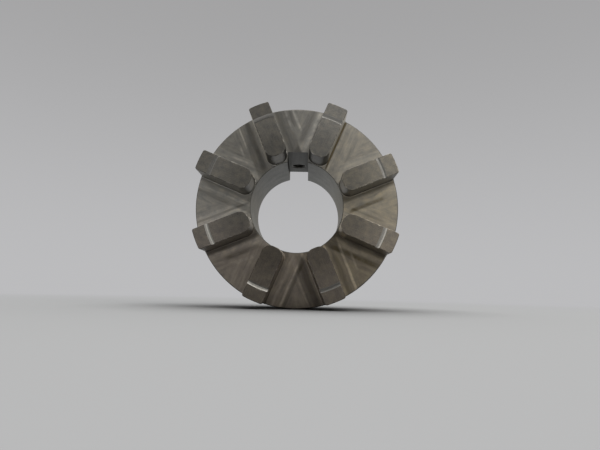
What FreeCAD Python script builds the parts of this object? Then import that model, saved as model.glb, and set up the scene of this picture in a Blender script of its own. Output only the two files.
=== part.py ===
import FreeCAD, Part
import math
import os

# One half of a large jaw coupling: a hub turned and milled from one steel blank,
# and the set screw over its key.
#
# Drawing frame: the bore runs along z, the jaws stand up towards +z, the keyway is on +y,
# and z = 0 is the plane of the milled gap floors between the jaws.
# Row frame: the shaft lies level, so the jaws face -Y and the keyway and set screw are on top, at +Z.
# The row's origin is on the bore axis, half way along the part.

INCH = 25.4

# Driving dimensions of the hub, in millimetres.
outer_dia = 6.0 * INCH
bore_dia = 2.75 * INCH
jaw_count = 8
jaw_width = 15.3
jaw_height = 0.9375 * INCH
hub_length = 2.4375 * INCH  # gap floor to back face
flange_thickness = 0.9375 * INCH  # gap floor to the back of the flange
boss_dia = 4.75 * INCH

# The jaws.
jaw_inner_radius = bore_dia / 2 + 0.75
jaw_outer_radius = outer_dia / 2 - 0.2
jaw_nose_corner = 6.2  # plan radius at the inner end, close to a full round
jaw_outer_corner = 1.5
jaw_edge_break = 0.5
jaw_root_fillet = 0.8
groove_radius = 65.4  # middle of the round groove turned across all the jaw faces
groove_width = 2.9
groove_depth = 1.2
groove_floor_width = 0.8
groove_floor_corner = 0.3

# The gap floors: one cutter pass beside each flank, and a wedge between the passes left a little proud.
pass_width = 11.1
wedge_height = 0.2

# The keyway, open at both ends of the bore. It is as deep as a square key needs, with a clearance over it.
keyway_width = 0.625 * INCH
keyway_clearance = 0.13
keyway_roof = (math.sqrt(bore_dia ** 2 - keyway_width ** 2) + keyway_width) / 2 + keyway_clearance
keyway_corner = 0.6

# Broken edges and inside corners of the turned blank.
rim_front_chamfer = 0.5
rim_back_chamfer = 1.2
boss_chamfer = 1.5
boss_root_fillet = 3.0
bore_front_chamfer = 0.4
bore_back_chamfer = 1.2

# The tapped hole for a 1/2-13 set screw, halfway along the boss and through the roof of the keyway.
thread_pitch = INCH / 13
tapped_hole_radius = 5.36
tapped_root_radius = 6.3
tapped_hole_mouth = 6.7
round_boss_allowance = 0.4  # the boss falls away this much across the mouth
tapped_hole_z = -(flange_thickness + hub_length) / 2

# The set screw: hexagon socket, cup point. Its crests run free inside the hole's crests.
screw_clearance = 0.05
screw_length = 0.5 * INCH
screw_root_depth = 0.75
screw_end_chamfer = 0.9
screw_point_radius = 3.4
screw_point_length = 1.8
cup_radius = 2.6
cup_depth = 1.5
socket_across_flats = 0.25 * INCH
socket_depth = 6.0
socket_cone_depth = 1.6
socket_mouth_chamfer = 0.35
screw_backed_off = 3.0  # from the keyway roof to the tip of the screw, at rest

jaw_step = 360.0 / jaw_count
first_jaw = jaw_step / 2  # measured from the keyway, so that the keyway is between two jaws
overall_length = hub_length + jaw_height
mid_length = (jaw_height - hub_length) / 2
reach = outer_dia  # long enough to run past the part on either side
past = 1.0  # how far a cutter starts outside what it cuts

coincident = 1e-6
level_within = 1e-4

UP = FreeCAD.Vector(0, 0, 1)
ORIGIN = FreeCAD.Vector(0, 0, 0)


def outline(corners):
    """A closed wire through (x, y, radius) corners, each rounded to its radius."""
    points = [FreeCAD.Vector(x, y, 0) for x, y, _ in corners]
    count = len(corners)
    turns = []  # where the rounding of each corner starts, its middle, and where it ends
    for i, (_, _, radius) in enumerate(corners):
        here = points[i]
        if radius == 0:
            turns.append((here, here, here))
            continue
        back = (points[i - 1] - here).normalize()
        ahead = (points[(i + 1) % count] - here).normalize()
        half_angle = back.getAngle(ahead) / 2
        inset = radius / math.tan(half_angle)
        bisector = (back + ahead).normalize()
        middle = here + bisector * (radius / math.sin(half_angle) - radius)
        turns.append((here + back * inset, middle, here + ahead * inset))
    edges = []
    for i, (start, middle, end) in enumerate(turns):
        if start != end:
            edges.append(Part.Arc(start, middle, end).toShape())
        following = turns[(i + 1) % count][0]
        if end.distanceToPoint(following) > coincident:
            edges.append(Part.LineSegment(end, following).toShape())
    return Part.Wire(edges)


def prism(corners, bottom, top):
    """The outline in the plane of the jaws, standing from bottom to top."""
    solid = Part.Face(outline(corners)).extrude(UP * (top - bottom))
    solid.translate(UP * bottom)
    return solid


def turned(corners):
    """A solid turned about the bore axis from a section of (radius, z, corner radius)."""
    section = Part.Face(outline(corners))
    section.rotate(ORIGIN, FreeCAD.Vector(1, 0, 0), 90)
    return section.revolve(ORIGIN, UP, 360)


def cylinder(radius, bottom, top):
    return Part.makeCylinder(radius, top - bottom, UP * bottom)


def round_the_jaws(shape, start_angle):
    """Copies of a shape drawn on +y, one for each jaw or gap."""
    copies = []
    for i in range(jaw_count):
        copy = shape.copy()
        copy.rotate(ORIGIN, UP, start_angle + i * jaw_step)
        copies.append(copy)
    return copies


def plan_radius(point):
    return math.hypot(point.x, point.y)


def edges_at_height(shape, height, within_radius):
    """Edges that lie at one height, closer to the axis than within_radius."""
    found = []
    for edge in shape.Edges:
        box = edge.BoundBox
        level = abs(box.ZMin - height) < level_within and abs(box.ZMax - height) < level_within
        if level and plan_radius(edge.Vertexes[0].Point) < within_radius:
            found.append(edge)
    return found


def blank():
    """The turned blank below the jaws: flange, boss, and the fillet between them."""
    rim = outer_dia / 2
    boss = boss_dia / 2
    return turned([
        (bore_dia / 4, -hub_length, 0),
        (boss - boss_chamfer, -hub_length, 0),
        (boss, boss_chamfer - hub_length, 0),
        (boss, -flange_thickness, boss_root_fillet),
        (rim - rim_back_chamfer, -flange_thickness, 0),
        (rim, rim_back_chamfer - flange_thickness, 0),
        (rim, 0, 0),
        (bore_dia / 4, 0, 0),
    ])


def jaw():
    """One jaw on +y: parallel flanks, a round nose next to the bore, a fillet round its root."""
    half = jaw_width / 2
    plan = [
        (-half, jaw_inner_radius, jaw_nose_corner),
        (half, jaw_inner_radius, jaw_nose_corner),
        (half, reach, 0),
        (-half, reach, 0),
    ]
    body = prism(plan, -past, jaw_height).common(cylinder(jaw_outer_radius, -past, jaw_height))
    outer_corners = []
    for edge in body.Edges:
        upright = abs(edge.BoundBox.ZLength - jaw_height - past) < level_within
        if upright and plan_radius(edge.Vertexes[0].Point) > jaw_outer_radius - past:
            outer_corners.append(edge)
    body = body.makeFillet(jaw_outer_corner, outer_corners)
    body = body.makeFillet(jaw_edge_break, edges_at_height(body, jaw_height, reach))
    # The root fillet is made on a wide plate, and what runs past the rim is then turned away.
    body = body.fuse(cylinder(reach, -past, 0)).removeSplitter()
    body = body.makeFillet(jaw_root_fillet, edges_at_height(body, 0, outer_dia / 2 + past))
    beside = half + 2 * jaw_root_fillet
    inside = jaw_inner_radius - 2 * jaw_root_fillet
    root = [(-beside, inside, 0), (beside, inside, 0), (beside, reach, 0), (-beside, reach, 0)]
    body = body.common(prism(root, -past, jaw_height))
    return body.common(cylinder(outer_dia / 2, -past, jaw_height))


def wedge():
    """The proud wedge on +y in the middle of a gap floor, bounded by the passes along both flanks."""
    half_angle = math.radians(jaw_step / 2)
    offset = jaw_width / 2 + pass_width
    apex = offset / math.sin(half_angle)
    half_width = (reach - apex) * math.tan(half_angle)
    plan = [(0, apex, 0), (half_width, reach, 0), (-half_width, reach, 0)]
    return prism(plan, -past, wedge_height).common(cylinder(outer_dia / 2, -past, wedge_height))


def rim_chamfer():
    """What is cut off the front edge of the rim between the jaws."""
    rim = outer_dia / 2
    ring = turned([
        (rim, -rim_front_chamfer, 0),
        (rim + past, -rim_front_chamfer, 0),
        (rim + past, past, 0),
        (rim - rim_front_chamfer - past, past, 0),
    ])
    half = jaw_width / 2
    keep = prism([(-half, 0, 0), (half, 0, 0), (half, reach, 0), (-half, reach, 0)], -past, 2 * past)
    return ring.cut(round_the_jaws(keep, first_jaw))


def groove():
    """The ring cut out of the jaw faces."""
    mouth = groove_width / 2
    floor = groove_floor_width / 2
    top = mouth + past * (mouth - floor) / groove_depth
    return turned([
        (groove_radius - floor, jaw_height - groove_depth, groove_floor_corner),
        (groove_radius + floor, jaw_height - groove_depth, groove_floor_corner),
        (groove_radius + top, jaw_height + past, 0),
        (groove_radius - top, jaw_height + past, 0),
    ])


def bore():
    """The bore with a chamfer at each end."""
    radius = bore_dia / 2
    front = radius + bore_front_chamfer
    back = radius + bore_back_chamfer
    return turned([
        (0, -hub_length - past, 0),
        (back + past, -hub_length - past, 0),
        (radius, bore_back_chamfer - hub_length, 0),
        (radius, -bore_front_chamfer, 0),
        (front, 0, 0),
        (front, jaw_height + past, 0),
        (0, jaw_height + past, 0),
    ])


def keyway():
    half = keyway_width / 2
    plan = [
        (-half, 0, 0),
        (half, 0, 0),
        (half, keyway_roof, keyway_corner),
        (-half, keyway_roof, keyway_corner),
    ]
    return prism(plan, -hub_length - past, jaw_height + past)


def threaded_rod(crest, root, bottom, top):
    """A rod along z with a ring of thread every pitch. Its plain stretches have the crest radius."""
    depth = root - crest
    flank = abs(depth) * math.tan(math.radians(30))
    flat = thread_pitch / 8
    turns = int((top - bottom - 2 * flank - flat) // thread_pitch)
    margin = (top - bottom - turns * thread_pitch) / 2
    section = [(0, bottom, 0), (crest, bottom, 0)]
    for i in range(turns):
        middle = bottom + margin + (i + 0.5) * thread_pitch
        section.append((crest, middle - flank - flat / 2, 0))
        section.append((root, middle - flat / 2, 0))
        section.append((root, middle + flat / 2, 0))
        section.append((crest, middle + flank + flat / 2, 0))
    section += [(crest, top, 0), (0, top, 0)]
    return turned(section)


def along_hole(shape):
    """Turns a shape drawn along z, its distance from the bore axis, onto the tapped hole's axis."""
    shape.rotate(ORIGIN, FreeCAD.Vector(1, 0, 0), -90)
    shape.translate(UP * tapped_hole_z)
    return shape


def tapped_hole():
    """The hole from the keyway roof out through the boss, with a countersunk mouth."""
    boss = boss_dia / 2
    hole = threaded_rod(tapped_hole_radius, tapped_root_radius, keyway_roof - past / 2, boss + past)
    mouth_depth = tapped_hole_mouth - tapped_hole_radius + round_boss_allowance
    mouth = turned([
        (0, boss - mouth_depth, 0),
        (tapped_hole_mouth - mouth_depth, boss - mouth_depth, 0),
        (tapped_hole_mouth + past, boss + past, 0),
        (0, boss + past, 0),
    ])
    entry_depth = tapped_root_radius - tapped_hole_radius
    entry = turned([
        (0, keyway_roof - past, 0),
        (tapped_root_radius, keyway_roof - past, 0),
        (tapped_root_radius, keyway_roof, 0),
        (tapped_hole_radius, keyway_roof + entry_depth, 0),
        (0, keyway_roof + entry_depth, 0),
    ])
    return along_hole(hole.fuse([mouth, entry]))


def coupling_hub():
    jaws = round_the_jaws(jaw(), first_jaw)
    wedges = round_the_jaws(wedge(), 0)
    shape = blank().fuse(wedges + jaws).removeSplitter()
    for cutter in (rim_chamfer(), groove(), bore(), keyway(), tapped_hole()):
        shape = shape.cut(cutter)
    return shape


def set_screw():
    """Cup point towards the bore, hexagon socket outwards, drawn along z like the hole."""
    crest = tapped_hole_radius - screw_clearance
    tip = keyway_roof + screw_backed_off
    top = tip + screw_length
    body = threaded_rod(crest, crest - screw_root_depth, tip, top)
    envelope = turned([
        (0, tip, 0),
        (screw_point_radius, tip, 0),
        (crest, tip + screw_point_length, 0),
        (crest, top - screw_end_chamfer, 0),
        (crest - screw_end_chamfer, top, 0),
        (0, top, 0),
    ])
    cup = turned([
        (0, tip - past, 0),
        (cup_radius, tip - past, 0),
        (cup_radius, tip, 0),
        (0, tip + cup_depth, 0),
    ])
    corner_radius = socket_across_flats / 2 / math.cos(math.radians(30))
    hexagon = []
    for i in range(6):
        angle = math.radians(30 + 60 * i)
        hexagon.append((corner_radius * math.cos(angle), corner_radius * math.sin(angle), 0))
    socket = prism(hexagon, top - socket_depth, top + past)
    socket_end = turned([
        (0, top - socket_depth - socket_cone_depth, 0),
        (socket_across_flats / 2, top - socket_depth, 0),
        (0, top - socket_depth, 0),
    ])
    mouth = corner_radius + socket_mouth_chamfer
    socket_mouth = turned([
        (0, top - socket_mouth_chamfer, 0),
        (corner_radius, top - socket_mouth_chamfer, 0),
        (mouth + past, top + past, 0),
        (0, top + past, 0),
    ])
    shape = body.common(envelope)
    for cutter in (cup, socket, socket_end, socket_mouth):
        shape = shape.cut(cutter)
    return along_hole(shape)


def to_row_frame(shape):
    """Lays the bore axis along Y, the jaws towards -Y, the origin half way along the part."""
    shape.translate(UP * -mid_length)
    shape.rotate(ORIGIN, FreeCAD.Vector(1, 0, 0), 90)
    return shape


def save(name, shape):
    solids = shape.Solids
    if len(solids) != 1 or not shape.isValid():
        raise ValueError(f"{name}: {len(solids)} solids, valid {shape.isValid()}")
    solids[0].exportStep(f"parts/{name}.step")
    print(f"{name}: {solids[0].Volume / 1000:.2f} cm3, {len(solids[0].Faces)} faces")


os.makedirs("parts", exist_ok=True)
save("coupling_hub", to_row_frame(coupling_hub()))
save("set_screw", to_row_frame(set_screw()))
print(f"overall length {overall_length:.2f} mm, gap floors at Y {mid_length:.3f} mm")
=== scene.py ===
import math

import bpy
from mathutils import Matrix, Vector


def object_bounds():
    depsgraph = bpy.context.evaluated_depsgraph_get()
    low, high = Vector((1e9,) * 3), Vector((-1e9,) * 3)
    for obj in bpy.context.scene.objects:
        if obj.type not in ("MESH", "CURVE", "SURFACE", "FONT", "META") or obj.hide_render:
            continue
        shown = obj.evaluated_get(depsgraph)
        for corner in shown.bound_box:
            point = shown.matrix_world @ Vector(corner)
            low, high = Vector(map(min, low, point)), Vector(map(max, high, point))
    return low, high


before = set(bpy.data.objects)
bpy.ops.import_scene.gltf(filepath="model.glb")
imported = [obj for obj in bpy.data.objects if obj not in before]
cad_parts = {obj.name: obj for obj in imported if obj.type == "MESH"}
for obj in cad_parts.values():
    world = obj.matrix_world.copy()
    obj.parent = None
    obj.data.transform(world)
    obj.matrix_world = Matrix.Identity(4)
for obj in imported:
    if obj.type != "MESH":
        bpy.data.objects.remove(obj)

# One half of a jaw coupling, machined from steel, on a pale floor in soft studio light.
# Both pieces are the CAD solids. What is made here is their finish: every machined surface of the hub
# gets its own material, whose tool marks, stains and wear follow the way that surface was cut. Several of
# these materials also carry painted light and shade.
#
# The shaft lies along Y and the jaws face -Y. The keyway and its set screw are at the top, +Z.
# The camera, lights and floor are placed in metres. The node trees and the hub's sizes are in millimetres.

cad_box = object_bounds()
MM = 1000.0  # in a metre

# The hub, as the CAD has it.
JAW_COUNT = 8
JAW_STEP = math.radians(360 / JAW_COUNT)
JAW_HALF_WIDTH = 7.65
JAW_TIP_Y = -42.8625
JAW_EDGE_BREAK = 0.5
NOSE_END = 41.9  # from the bore's axis, where a jaw's round nose turns into its straight flanks
GAP_FLOOR_Y = -19.05
PASS_WIDTH = 11.1  # of the cutter that milled the gap floors
WEDGE_HEIGHT = 0.2  # of the steel left between two passes
GROOVE_RADIUS = 65.4
GROOVE_HALF_WIDTH = 1.45
GROOVE_DEPTH = 1.2
RIM_RADIUS = 76.2
RIM_CHAMFER = 0.5
FLANGE_BACK_Y = 4.7625
BORE_RADIUS = 34.925
BORE_FRONT_CHAMFER = 0.4
KEYWAY_HALF_WIDTH = 7.9375
KEYWAY_ROOF = 42.08
HOLE_Y = 23.8125
HOLE_MOUTH_RADIUS = 6.7

STEEL = (0.44, 0.43, 0.402, 1)
# Painted reflection: the brown mixed into the steel towards the hub's lower side.
REFLECTED_BROWN = (0.485, 0.43, 0.395, 1)
WARM_STEEL = (0.455, 0.392, 0.275, 1)
BRIGHT_STEEL = (0.60, 0.59, 0.56, 1)
BORED_STEEL = (0.42, 0.42, 0.385, 1)
BROACHED_STEEL = (0.42, 0.42, 0.38, 1)
BLACK_OXIDE = (0.055, 0.055, 0.06, 1)
OIL_STAIN = (0.14, 0.105, 0.04, 1)
RUST = (0.20, 0.09, 0.04, 1)

FLOOR = (0.452, 0.458, 0.464, 1)
BACKDROP = (0.362, 0.360, 0.364, 1)
BACKDROP_LOW = (0.50, 0.50, 0.51, 1)
WARM_LIGHT = (1.0, 0.95, 0.87, 1)
WHITE_LIGHT = (1.0, 1.0, 1.0, 1)

# How the milled gap floors came out, one row for each gap, clockwise from the keyway as the jaws are seen.
# Tones are multiples of the plain steel: of the cutter pass along the gap's anticlockwise flank, the wedge
# between the passes, the pass along its clockwise flank, and where the passes cross near the bore. Then how
# warm the stain is, the tone of the floor close to the anticlockwise and the clockwise flank (dirt with the
# jaws' painted shadow, and painted light where it is over 1), and how oily the dark streaks are.
GAP_FINISH = [
    (0.62, 0.83, 1.02, 0.45, 0.05, 1.40, 0.70, 0.2),
    (1.14, 1.06, 1.26, 1.10, 0.25, 0.95, 1.05, 1.0),
    (1.38, 1.23, 1.34, 1.38, 0.57, 0.44, 1.15, 0.9),
    (0.71, 0.71, 0.68, 0.41, 0.72, 0.32, 1.45, 0.6),
    (0.45, 0.63, 0.65, 0.79, 0.40, 1.30, 0.85, 0.2),
    (0.71, 0.74, 0.74, 0.93, 0.32, 1.20, 0.55, 0.3),
    (1.58, 1.15, 1.16, 0.94, 0.11, 0.82, 0.66, 0.1),
    (1.04, 0.81, 0.72, 0.67, 0.11, 1.15, 1.35, 0.1),
]

# The marks that stand out on the floors, gap by gap in the same order: 0 if the streak runs beside the gap's
# anticlockwise flank or 1 for the clockwise one, its distance from it, its half width, its tone over the
# floor's, and the radii where it starts and ends.
STREAKS = [
    [(0, 10.8, 0.8, 1.65, 60, 80), (0, 17.0, 0.9, 1.55, 60, 80), (0, 14.0, 1.6, 0.66, 63, 80),
     (1, 9.5, 2.2, 0.70, 50, 80), (1, 4.8, 1.7, 1.45, 46, 80), (0, 4.5, 2.2, 0.78, 36, 80)],
    [(0, 0.7, 0.7, 0.35, 36, 80), (0, 2.4, 0.8, 1.15, 36, 80), (0, 12.5, 1.0, 0.90, 42, 62),
     (1, 0.6, 0.7, 1.35, 46, 80), (0, 6.0, 2.5, 0.94, 44, 70), (1, 7.0, 2.5, 1.05, 40, 80)],
    [(0, 10.4, 1.5, 0.66, 40, 66), (1, 7.6, 0.9, 0.82, 42, 66), (0, 14.5, 2.4, 1.14, 44, 66),
     (0, 6.0, 1.8, 1.14, 44, 80), (1, 1.6, 1.3, 1.15, 34, 60), (0, 1.8, 1.2, 0.84, 36, 80)],
    [(1, 11.0, 1.0, 1.9, 42, 80), (0, 9.5, 2.2, 0.56, 40, 80), (0, 5.8, 1.6, 1.3, 44, 80),
     (1, 5.2, 1.8, 0.74, 46, 80), (1, 0.5, 0.7, 1.6, 36, 80), (1, 17.0, 0.8, 1.45, 54, 66)],
    [(0, 10.8, 0.8, 1.35, 52, 80), (0, 4.6, 2.8, 0.62, 36, 80), (1, 11.0, 0.8, 1.6, 44, 76),
     (1, 13.6, 1.2, 0.62, 42, 78), (1, 5.0, 1.2, 1.18, 40, 80), (0, 0.6, 0.6, 1.35, 46, 80)],
    [(1, 5.0, 2.0, 1.4, 38, 80), (1, 9.8, 1.6, 0.58, 40, 66), (1, 15.4, 1.4, 1.2, 48, 64),
     (0, 2.4, 1.2, 0.82, 40, 80), (0, 7.0, 1.5, 1.1, 50, 80), (1, 1.8, 1.6, 0.60, 36, 80)],
    [(0, 8.2, 0.9, 0.60, 36, 80), (0, 3.8, 3.0, 1.15, 34, 80), (0, 12.0, 1.5, 1.16, 58, 74),
     (1, 6.2, 0.9, 1.35, 38, 74), (1, 10.5, 1.6, 0.70, 50, 80), (1, 5.4, 1.5, 1.4, 32, 42)],
    [(1, 4.8, 2.3, 0.56, 38, 80), (1, 11.6, 0.6, 1.6, 60, 80), (0, 2.6, 2.4, 1.35, 36, 80),
     (1, 16.0, 0.8, 1.5, 56, 62), (0, 8.2, 0.9, 1.3, 48, 62), (1, 9.0, 1.4, 0.80, 44, 62)],
]

# The jaws, clockwise from the one next to the keyway: tones of the face inside and outside the groove,
# warmth, painted highlights on the groove's inner wall, floor and outer wall, then painted light and shade on
# the anticlockwise flank, nose and clockwise flank, and how much dried grease lies along the clockwise root.
JAW_FINISH = [
    (0.56, 0.72, 0.10, 1.05, 0.62, 0.56, 0.60, 0.28, 1.05, 1.0),
    (0.61, 0.82, 0.36, 0.75, 1.10, 0.55, 0.60, 0.54, 0.30, 0.0),
    (0.55, 0.76, 0.42, 0.62, 0.72, 1.60, 0.60, 1.60, 0.38, 0.0),
    (0.35, 0.425, 0.38, 0.48, 0.30, 0.50, 0.80, 1.90, 1.15, 0.0),
    (0.30, 0.375, 0.42, 0.28, 1.07, 1.33, 0.60, 1.30, 0.60, 0.0),
    (0.44, 0.57, 0.20, 0.70, 1.40, 0.65, 0.43, 0.55, 0.60, 0.0),
    (0.47, 0.53, 0.20, 0.64, 0.38, 0.33, 0.39, 0.44, 0.60, 0.0),
    (0.42, 0.435, 0.18, 0.16, 0.44, 0.70, 1.85, 0.41, 0.60, 0.0),
]

# The softboxes, all facing the part: name, place, width, watts and colour.
SOFTBOXES = [
    ("overhead", (0.1, -0.05, 1.3), 1.1, 5, (1.0, 1.0, 1.0)),
    ("key", (0.9, -0.8, 0.9), 0.7, 4, (1.0, 0.96, 0.90)),
]

CAMERA_PLACE = (0.0088, -0.3837, -0.0638)
CAMERA_AIM = (0.0025, 0, -0.0114)
CAMERA_ROLL = math.radians(1.3)
CAMERA_LENS = 29.5


class Field:
    """A value that varies over a surface: an output socket, with arithmetic that adds Math nodes."""

    def __init__(self, graph, socket):
        self.graph = graph
        self.socket = socket

    def __add__(self, other):
        return self.graph.math("ADD", self, other)

    def __sub__(self, other):
        return self.graph.math("SUBTRACT", self, other)

    def __rsub__(self, other):
        return self.graph.math("SUBTRACT", other, self)

    def __mul__(self, other):
        return self.graph.math("MULTIPLY", self, other)

    def __truediv__(self, other):
        return self.graph.math("DIVIDE", self, other)

    __radd__ = __add__
    __rmul__ = __mul__

    def above(self, low, high):
        """0 under low, 1 over high, and a smooth rise between them. Low may be the larger of the two."""
        node = self.graph.add("MapRange", {"Value": self}, interpolation_type="SMOOTHSTEP")
        low, high, start, end = (low, high, 0, 1) if low < high else (high, low, 1, 0)
        for name, value in (("From Min", low), ("From Max", high), ("To Min", start), ("To Max", end)):
            node.inputs[name].default_value = value
        return Field(self.graph, node.outputs["Result"])


class Graph:
    """Short calls for building one node tree. An input may be a Field or a plain value."""

    def __init__(self, tree):
        self.tree = tree
        tree.nodes.clear()

    def plug(self, socket, value):
        if isinstance(value, Field):
            self.tree.links.new(value.socket, socket)
        else:
            socket.default_value = value

    def add(self, kind, inputs=None, **settings):
        node = self.tree.nodes.new("ShaderNode" + kind)
        for name, value in settings.items():
            setattr(node, name, value)
        for name, value in (inputs or {}).items():
            self.plug(node.inputs[name], value)
        return node

    def math(self, operation, *values):
        node = self.add("Math", operation=operation)
        for socket, value in zip(node.inputs, values):
            self.plug(socket, value)
        return Field(self, node.outputs[0])

    def hypotenuse(self, first, second):
        return self.math("SQRT", first * first + second * second)

    def place(self, coordinates):
        """The x, y and z of a kind of texture coordinates."""
        return self.split(Field(self, self.add("TexCoord").outputs[coordinates]))

    def vector(self, x, y, z):
        return Field(self, self.add("CombineXYZ", {"X": x, "Y": y, "Z": z}).outputs[0])

    def split(self, vector):
        node = self.add("SeparateXYZ", {"Vector": vector})
        return [Field(self, socket) for socket in node.outputs]

    def noise(self, x, y, z, detail=2.0, roughness=0.5):
        """Noise about 0, mostly within -0.3 and 0.3, whose blobs are about one unit of x, y and z across."""
        node = self.add("TexNoise", {
            "Vector": self.vector(x, y, z), "Scale": 1.0, "Detail": detail, "Roughness": roughness,
        })
        return Field(self, node.outputs["Fac"]) - 0.5

    def table(self, index, rows):
        """The columns of the table, each a field with the value from the row that index points to."""
        columns = []
        for first in range(0, len(rows[0]), 4):
            ramp = self.add("ValToRGB", {"Fac": (index + 0.5) / len(rows)})
            ramp.color_ramp.interpolation = "CONSTANT"
            stops = ramp.color_ramp.elements
            while len(stops) < len(rows):
                stops.new(1.0)
            for i, row in enumerate(rows):
                stops[i].position = i / len(rows)
                stops[i].color = (row[first:first + 4] + (0, 0, 0))[:4]
            colour = self.add("SeparateColor", {"Color": Field(self, ramp.outputs["Color"])})
            columns += [Field(self, socket) for socket in colour.outputs]
            columns.append(Field(self, ramp.outputs["Alpha"]))
        return columns[:len(rows[0])]

    def mix(self, factor, first, second):
        """First where factor is 0, second where it is 1. Both are colours."""
        node = self.add("Mix", data_type="RGBA")
        for index, value in ((0, factor), (6, first), (7, second)):
            self.plug(node.inputs[index], value)
        return Field(self, node.outputs[2])

    def shade(self, colour, brightness):
        """The colour made brighter or darker by a factor."""
        node = self.add("VectorMath", {"Scale": brightness}, operation="SCALE")
        self.plug(node.inputs[0], colour if isinstance(colour, Field) else colour[:3])
        return Field(self, node.outputs[0])

    def mix_shaders(self, factor, first, second):
        """First where factor is 0, second where it is 1. Both are shader nodes, and so is the result."""
        node = self.add("MixShader", {0: factor})
        self.tree.links.new(first.outputs[0], node.inputs[1])
        self.tree.links.new(second.outputs[0], node.inputs[2])
        return node

    def end(self, kind, shader):
        """Gives the tree its output node, of this kind."""
        self.tree.links.new(shader.outputs[0], self.add(kind).inputs["Surface"])


class Metal(Graph):
    """A metal's material, and where a point of the surface is on the hub, in millimetres."""

    def __init__(self, name):
        self.material = bpy.data.materials.new(name)
        self.material.use_nodes = True
        super().__init__(self.material.node_tree)
        self.x, self.y, self.z = [distance * MM for distance in self.place("Object")]
        self.radius = self.hypotenuse(self.x, self.z)
        self.angle = self.math("ARCTAN2", self.x, self.z)

    def sector(self, first):
        """The number of the sector, one jaw step wide, counted clockwise from the one whose middle is at
        first, and the place in it: out along its middle line, and clockwise from that line."""
        turn = self.math("ROUND", (self.angle - first) / JAW_STEP)
        across = self.angle - first - turn * JAW_STEP
        number = self.math("FLOORED_MODULO", turn, JAW_COUNT)
        return number, self.radius * self.math("COSINE", across), self.radius * self.math("SINE", across)

    def steel(self, warmth):
        """The colour of the hub's steel: yellower with warmth, and browner towards the hub's lower side, a
        painted reflection of the dark brownish surroundings below.
        """
        grey = self.mix(self.z.above(5, -45), STEEL, REFLECTED_BROWN)
        return self.mix(warmth, grey, WARM_STEEL)

    def finish(self, colour, roughness, height, depth, metallic=1.0):
        """Ends the material: height is the relief in arbitrary units, depth is how many mm one unit is."""
        bump = self.add("Bump", {"Strength": 1.0, "Distance": depth / MM, "Height": height})
        shader = self.add("BsdfPrincipled", {
            "Base Color": colour, "Roughness": roughness, "Metallic": metallic,
            "Normal": Field(self, bump.outputs[0]),
        })
        self.end("OutputMaterial", shader)
        return self.material


def gap_floor():
    """Milled floors: a cutter pass beside each flank, crossing near the bore, and the streaks they left."""
    m = Metal("gap_floor")
    number, out, across = m.sector(0.0)
    (anticlockwise_tone, wedge_tone, clockwise_tone, crossing_tone,
     warmth, anticlockwise_root_dirt_and_shading, clockwise_root_dirt_and_shading, oil) = m.table(number, GAP_FINISH)
    # The distances from the two flanks, and the places along them.
    sine, cosine = math.sin(JAW_STEP / 2), math.cos(JAW_STEP / 2)
    clockwise = out * sine - across * cosine - JAW_HALF_WIDTH
    anticlockwise = out * sine + across * cosine - JAW_HALF_WIDTH
    along_clockwise = out * cosine + across * sine
    along_anticlockwise = out * cosine - across * sine

    wander = m.noise(m.x / 10, m.z / 10, number) * 2.5
    blotch = m.noise(m.x / 5, m.z / 5, 2.0, detail=4.0, roughness=0.55)
    grain = m.noise(m.x / 0.7, m.z / 0.7, 6.0, detail=3.0, roughness=0.6)
    spots = m.noise(m.x / 1.8, m.z / 1.8, 9.0).above(0.20, 0.30)

    in_clockwise = (clockwise + wander * 0.4).above(PASS_WIDTH + 1.0, PASS_WIDTH - 1.0)
    in_anticlockwise = (anticlockwise + wander * 0.4).above(PASS_WIDTH + 1.0, PASS_WIDTH - 1.0)
    crossing = in_clockwise * in_anticlockwise
    only_clockwise = in_clockwise - crossing
    only_anticlockwise = in_anticlockwise - crossing
    wedge = 1 - in_clockwise - only_anticlockwise
    tone = (
        crossing_tone * crossing + wedge_tone * wedge
        + clockwise_tone * only_clockwise + anticlockwise_tone * only_anticlockwise
    )
    # The floor close to each flank: dirt with painted shadow cast by the jaws, and painted light where the
    # tone is over 1.
    tone = tone * (1 + (clockwise_root_dirt_and_shading - 1) * (clockwise + wander).above(4.5, 0.5))
    tone = tone * (1 + (anticlockwise_root_dirt_and_shading - 1) * (anticlockwise + wander).above(4.5, 0.5))

    smears = []
    flanks = ((clockwise, along_clockwise, 3.1), (anticlockwise, along_anticlockwise, 7.7))
    for distance, along, seed in flanks:
        smears.append(m.noise((distance + wander) / 2.2, along / 18, number * 3.7 + seed, detail=3.0))
    near_clockwise = (anticlockwise - clockwise).above(-3.0, 3.0)
    smear = smears[1] + near_clockwise * (smears[0] - smears[1])

    oily = 0.0
    for streaks in zip(*STREAKS):
        beside, distance, half_width, contrast, start, end = m.table(number, streaks)
        place = anticlockwise + beside * (clockwise - anticlockwise) + wander * 0.35
        band = (m.math("ABSOLUTE", place - distance) / half_width).above(1.5, 0.3)
        band = band * (m.radius - start).above(-3.0, 3.0) * (m.radius - end).above(3.0, -3.0)
        band = band * (0.85 + blotch * 1.6)
        tone = tone * (1 + (contrast - 1) * band)
        oily = band * (1 - contrast) + oily
    oil_here = (oily * oil * 2.0).above(0.05, 0.9)

    tone = tone * (1 + smear * 0.9 + blotch * 0.65 + grain * 0.3)
    colour = m.shade(m.steel(warmth + blotch * 0.7 + smear * 0.5), tone)
    colour = m.mix(oil_here * 0.6, colour, OIL_STAIN)
    colour = m.mix(spots * warmth * 0.8, colour, RUST)
    roughness = 0.42 - smear * 0.15 + oil_here * 0.1 + blotch * 0.1
    return m.finish(colour, roughness, grain + smear * 1.5, depth=0.03)


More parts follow.
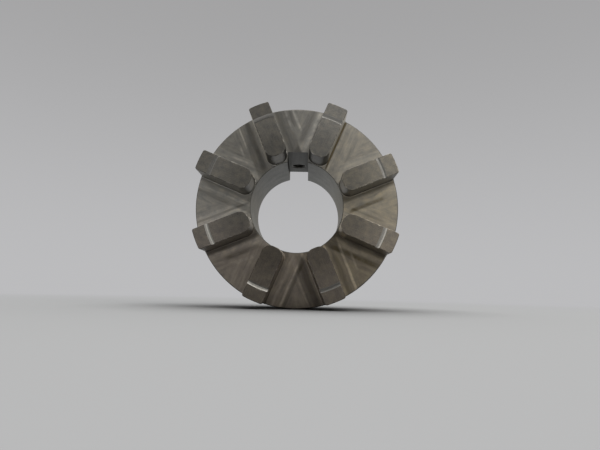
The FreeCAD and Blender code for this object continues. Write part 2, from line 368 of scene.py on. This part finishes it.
def jaw_face():
    """The ends of the jaws: ground flat, dull and mottled, rubbed bright along their edges."""
    m = Metal("jaw_face")
    number, out, across = m.sector(JAW_STEP / 2)
    inner_tone, outer_tone, warmth = m.table(number, JAW_FINISH)[:3]
    grain = m.noise(m.x / 0.8, m.z / 0.8, 1.0, detail=3.0, roughness=0.65)
    mottle = m.noise(m.x / 4, m.z / 4, 5.0, detail=4.0, roughness=0.6)
    lines = m.noise(across / 0.5, out / 14, number)
    edge = m.math("ABSOLUTE", across).above(JAW_HALF_WIDTH - 1.2, JAW_HALF_WIDTH - JAW_EDGE_BREAK)
    worn = edge * (m.noise(m.x / 2, m.z / 2, 3.0) + 0.5).above(0.35, 0.65)
    nicks = m.noise(m.x / 0.9, m.z / 0.9, 11.0).above(0.22, 0.3)
    inner_tone = inner_tone * (0.86 + m.radius.above(42, 64) * 0.38)
    tone = inner_tone + m.radius.above(GROOVE_RADIUS - 0.5, GROOVE_RADIUS + 0.5) * (outer_tone - inner_tone)
    tone = tone * (1 + grain * 0.7 + mottle * 0.9 + lines * 0.4 + worn * 0.25 + nicks * 0.3)
    colour = m.shade(m.steel(warmth + mottle), tone)
    roughness = 0.50 - worn * 0.1 + mottle * 0.2
    return m.finish(colour, roughness, grain + mottle * 0.6 - nicks * 0.5, depth=0.02)


def flank():
    """The sides and noses of the jaws: end milled, with lines along the jaw, dirt and painted shade at their
    roots, a painted highlight along the root fillets, and painted light and shade on each side and nose.
    """
    m = Metal("jaw_flank")
    number, out, across = m.sector(JAW_STEP / 2)
    finish = m.table(number, JAW_FINISH)
    warmth = finish[2]
    anticlockwise_tone, nose_shading, clockwise_tone, grease = finish[6:]
    lines = m.noise(m.y / 0.8, out / 14, number * 2.3 + across / 8, detail=3.0, roughness=0.6)
    blotch = m.noise(m.x / 4, m.y / 4, m.z / 4, detail=3.0)
    off_middle = m.math("ABSOLUTE", across)
    # A painted highlight along the root fillet, and dirt with painted shade up the flank near the floor.
    root = m.y.above(GAP_FLOOR_Y - 1.2, GAP_FLOOR_Y - 0.5)
    grime_and_shade = m.y.above(GAP_FLOOR_Y - 6, GAP_FLOOR_Y - 1)
    nose = out.above(NOSE_END + 1.5, NOSE_END - 1.0)
    clockwise = across.above(-2, 2)
    # Painted light and shade: one tone for each flank side and nose of each jaw, darker on the sides of the
    # nose.
    nose_shading = nose_shading * (1 - off_middle.above(2.5, 6.0) * 0.32)
    tone = anticlockwise_tone + clockwise * (clockwise_tone - anticlockwise_tone)
    tone = tone + nose * (nose_shading - tone)
    tone = tone * (1 + lines * 0.6 + blotch * 0.6 - grime_and_shade * 0.2) + root * 0.12
    greasy = grease * clockwise * (1 - nose) * (m.y + blotch).above(GAP_FLOOR_Y - 1.6, GAP_FLOOR_Y - 1.0)
    colour = m.shade(m.steel(warmth + blotch), tone)
    colour = m.mix(greasy, colour, OIL_STAIN)
    return m.finish(colour, 0.46 + grime_and_shade * 0.1 - lines * 0.1, lines, depth=0.02)


def jaw_edge():
    """The broken edges round the ends of the jaws: filed, dull, with bare patches where they were knocked."""
    m = Metal("jaw_edge")
    number = m.sector(JAW_STEP / 2)[0]
    inner_tone, outer_tone, warmth = m.table(number, JAW_FINISH)[:3]
    patches = m.noise(m.x / 3, m.y / 3, m.z / 3, detail=3.0)
    bare = (patches + 0.5).above(0.5, 0.7)
    tone = (inner_tone + outer_tone) * (0.36 + bare * 0.45 + patches * 0.3)
    colour = m.shade(m.steel(warmth), tone)
    return m.finish(colour, 0.62 - bare * 0.15, patches, depth=0.03)


def groove():
    """The ring turned across the jaw faces after everything else, with painted highlights on its walls and
    floor that are bright on some of the jaws.
    """
    m = Metal("groove")
    number = m.sector(JAW_STEP / 2)[0]
    warmth, inner_tone, groove_floor_highlight, outer_tone = m.table(number, JAW_FINISH)[2:6]
    stain = m.noise(m.x / 2.5, m.z / 2.5, 4.0, detail=3.0)
    # Painted highlights on the groove's inner wall, floor and outer wall, one set of tones for each jaw.
    tone = inner_tone + m.radius.above(GROOVE_RADIUS - 0.7, GROOVE_RADIUS - 0.3) * (groove_floor_highlight - inner_tone)
    tone = tone + m.radius.above(GROOVE_RADIUS + 0.3, GROOVE_RADIUS + 0.6) * (outer_tone - tone)
    tone = tone * (1 + stain * 0.4)
    colour = m.shade(m.mix(warmth * 0.3, BRIGHT_STEEL, WARM_STEEL), tone)
    return m.finish(colour, 0.50 + stain * 0.2, stain, depth=0.01, metallic=0.4)


def bore_wall():
    """The bore: bored to size and left grey, with rings round it and rubbing marks along it."""
    m = Metal("bore_wall")
    girth = m.angle * BORE_RADIUS
    rings = m.noise(m.y / 0.35, girth / 60, 1.0, detail=3.0, roughness=0.6)
    rubbed = m.noise(girth / 0.8, m.y / 25, 6.0, detail=3.0, roughness=0.6)
    blotch = m.noise(m.x / 9, m.y / 9, m.z / 9, detail=3.0)
    tone = 0.36 + m.x.above(10, 36) * 0.22 + rings * 0.4 + rubbed * 0.45 + blotch * 0.35
    colour = m.shade(BORED_STEEL, tone)
    return m.finish(colour, 0.45 + rubbed * 0.2, rings + rubbed * 0.6, depth=0.02)


def keyway_wall():
    """The keyway: broached, with lines along its whole length, and painted dark all over for the shade inside
    it.
    """
    m = Metal("keyway_wall")
    lines = m.noise(m.x / 0.5, m.z / 0.5, m.y / 30, detail=3.0, roughness=0.6)
    blotch = m.noise(m.x / 4, m.y / 6, m.z / 4, detail=3.0)
    # Painted shade: the low tone darkens the whole keyway.
    tone = 0.195 + lines * 0.25 + blotch * 0.25
    colour = m.shade(BROACHED_STEEL, tone)
    return m.finish(colour, 0.5 + blotch * 0.2, lines, depth=0.03)


def turned_steel():
    """The rim, boss and back: turned, with rings at the lathe's feed, and dull with painted shade on the
    rim's front edge.
    """
    m = Metal("turned_steel")
    rings = m.noise(m.radius / 0.22, m.y / 0.22, 1.0, roughness=0.6)
    bands = m.noise(m.radius / 2.5, m.y / 2.5, 8.0)
    blotch = m.noise(m.x / 14, m.y / 14, m.z / 14, detail=4.0, roughness=0.6)
    scuffs = m.noise(m.x / 1.2, m.y / 1.2, m.z / 1.2, detail=3.0).above(0.17, 0.27)
    at_rim = m.radius.above(RIM_RADIUS - 0.8, RIM_RADIUS - 0.5)
    shaded_front_edge = at_rim * m.y.above(GAP_FLOOR_Y + 1.4, GAP_FLOOR_Y + 0.6)
    tone = 0.85 + rings * 0.35 + bands * 0.35 + blotch * 0.6 - scuffs * 0.15
    # Painted shade on the rim's front chamfer, where it would otherwise catch a highlight.
    tone = tone * (1 - shaded_front_edge * 0.6)
    colour = m.shade(m.mix(0.25 + blotch, STEEL, WARM_STEEL), tone)
    roughness = 0.36 + blotch * 0.3 + scuffs * 0.1 - bands * 0.15 + shaded_front_edge * 0.25
    return m.finish(colour, roughness, rings + bands * 0.5 - scuffs * 0.6, depth=0.02)


def tapped_thread():
    """The tapped hole: dark, and brighter on the crests."""
    m = Metal("tapped_thread")
    reach = m.hypotenuse(m.x, m.y - HOLE_Y)
    crest = reach.above(5.9, 5.5)
    blotch = m.noise(m.x / 1.5, m.y / 1.5, m.z / 1.5, detail=3.0)
    tone = 0.30 + crest * 0.35 + blotch * 0.4
    return m.finish(m.shade(STEEL, tone), 0.42 + blotch * 0.2, blotch, depth=0.02)


def black_oxide():
    """The set screw: black oxide, rubbed to bare steel on the thread's crests."""
    m = Metal("black_oxide")
    reach = m.hypotenuse(m.x, m.y - HOLE_Y)
    grain = m.noise(m.x / 0.25, m.y / 0.25, m.z / 0.25, detail=3.0)
    patches = m.noise(m.x / 1.1, m.y / 1.1, m.z / 1.1, detail=3.0)
    worn = reach.above(4.9, 5.3) * (patches + 0.5).above(0.4, 0.6)
    colour = m.mix(worn * 0.7, m.shade(BLACK_OXIDE, 1 + patches), STEEL)
    return m.finish(colour, 0.38 + grain * 0.3 - worn * 0.1, grain, depth=0.01)


def surface_of(centre, normal):
    """Which machined surface of the hub a polygon belongs to, from its middle in mm and its normal."""
    x, y, z = centre
    radius = math.hypot(x, z)
    from_hole = math.hypot(x, y - HOLE_Y)
    hair = 0.001
    if from_hole < HOLE_MOUTH_RADIUS + 0.5 and z > KEYWAY_ROOF + 0.1:
        return "thread"
    in_keyway = z > 0 and abs(x) < KEYWAY_HALF_WIDTH + 0.01 and y > GAP_FLOOR_Y
    if in_keyway and BORE_RADIUS + 0.2 < radius < KEYWAY_ROOF + 0.9:
        return "keyway"
    if radius < BORE_RADIUS + (BORE_FRONT_CHAMFER + 0.2 if y < 0 else 0.1) and y > GAP_FLOOR_Y - 0.1:
        return "bore"
    at_groove_depth = JAW_TIP_Y + hair < y < JAW_TIP_Y + GROOVE_DEPTH + 0.3
    if at_groove_depth and abs(radius - GROOVE_RADIUS) < GROOVE_HALF_WIDTH + 0.15:
        return "groove"
    if y < JAW_TIP_Y + hair:
        return "jaw_face"
    if y < JAW_TIP_Y + JAW_EDGE_BREAK:
        return "jaw_edge"
    if y > FLANGE_BACK_Y - 2 or radius > RIM_RADIUS - RIM_CHAMFER - 0.2:
        return "turned"
    on_floor = abs(y - GAP_FLOOR_Y) < WEDGE_HEIGHT + 0.05 and normal.y < -0.9
    on_wedge_side = GAP_FLOOR_Y - WEDGE_HEIGHT - 0.01 < y < GAP_FLOOR_Y - hair
    return "gap_floor" if on_floor or on_wedge_side else "flank"


def finish_hub():
    """Gives every polygon of the hub the material of the surface that it is part of."""
    makers = {
        "gap_floor": gap_floor, "jaw_face": jaw_face, "jaw_edge": jaw_edge, "flank": flank, "groove": groove,
        "bore": bore_wall, "keyway": keyway_wall, "turned": turned_steel, "thread": tapped_thread,
    }
    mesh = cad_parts["coupling_hub"].data
    mesh.materials.clear()
    slots = {}
    for name, make in makers.items():
        slots[name] = len(mesh.materials)
        mesh.materials.append(make())
    for polygon in mesh.polygons:
        polygon.material_index = slots[surface_of(polygon.center * MM, polygon.normal)]


def finish_screw():
    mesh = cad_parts["set_screw"].data
    mesh.materials.clear()
    mesh.materials.append(black_oxide())


def add_floor():
    """A pale floor at the rim's lowest point, with painted contact shadow from ambient occlusion close to the
    part.
    Further out it turns into the backdrop, so that no horizon shows."""
    reach = 4.0
    lowest = cad_box[0][2]
    bpy.ops.mesh.primitive_circle_add(vertices=96, radius=reach, fill_type="NGON", location=(0, 0, lowest))
    floor = bpy.context.object
    floor.name = "floor"
    material = bpy.data.materials.new("pale_floor")
    material.use_nodes = True
    g = Graph(material.node_tree)
    x, y, _ = g.place("Object")
    # Painted contact shadow: the floor's colour is darkened by ambient occlusion.
    contact_shade = g.add("AmbientOcclusion", {"Distance": 0.10}, samples=16)
    paper = g.add("BsdfDiffuse", {"Color": g.shade(FLOOR, Field(g, contact_shade.outputs["AO"]))})
    glow = g.add("Emission", {"Color": BACKDROP_LOW, "Strength": 1.0})
    g.end("OutputMaterial", g.mix_shaders(g.hypotenuse(x, y).above(0.14, 0.7), paper, glow))
    floor.data.materials.append(material)


def add_sky():
    """Soft light from all round: bright overhead and to the right, dim low down on the side that the jaws
    face. The camera sees the plain backdrop in its place."""
    world = bpy.data.worlds.new("studio")
    bpy.context.scene.world = world
    world.use_nodes = True
    g = Graph(world.node_tree)
    x, y, z = g.place("Generated")
    height = z.above(0.0, 0.8)
    front = (y * -1.0).above(0.1, 0.9)
    right = x.above(-0.6, 0.8)
    low = 0.34 + right * 0.16 - front * 0.31
    strength = low + height * (0.42 + right * 0.15)
    light = g.add("Background", {"Color": g.mix(height, WARM_LIGHT, WHITE_LIGHT), "Strength": strength})
    seen = g.add("Background", {"Color": g.mix(z.above(0.0, 0.6), BACKDROP_LOW, BACKDROP), "Strength": 1.0})
    g.end("OutputWorld", g.mix_shaders(Field(g, g.add("LightPath").outputs["Is Camera Ray"]), light, seen))


def look_at(item, place, aim, roll=0.0):
    """Puts a camera or light at place, facing aim, turned by roll anticlockwise as it looks."""
    item.location = place
    facing = (Vector(aim) - Vector(place)).to_track_quat("-Z", "Y")
    item.rotation_euler = (facing.to_matrix() @ Matrix.Rotation(roll, 3, "Z")).to_euler()


def add_softbox(name, place, size, power, colour):
    light = bpy.data.objects.new(name, bpy.data.lights.new(name, "AREA"))
    bpy.context.scene.collection.objects.link(light)
    light.data.size = size
    light.data.energy = power
    light.data.color = colour
    look_at(light, place, aim=(0, 0, 0))


def add_camera():
    """Close in front, a little above the floor and looking slightly up."""
    camera = bpy.data.objects.new("camera", bpy.data.cameras.new("camera"))
    bpy.context.scene.collection.objects.link(camera)
    bpy.context.scene.camera = camera
    camera.data.lens = CAMERA_LENS
    camera.data.clip_start = 0.01
    look_at(camera, CAMERA_PLACE, CAMERA_AIM, CAMERA_ROLL)


add_camera()
finish_hub()
finish_screw()
add_floor()
add_sky()
for softbox in SOFTBOXES:
    add_softbox(*softbox)
bpy.context.scene.view_settings.view_transform = "Standard"
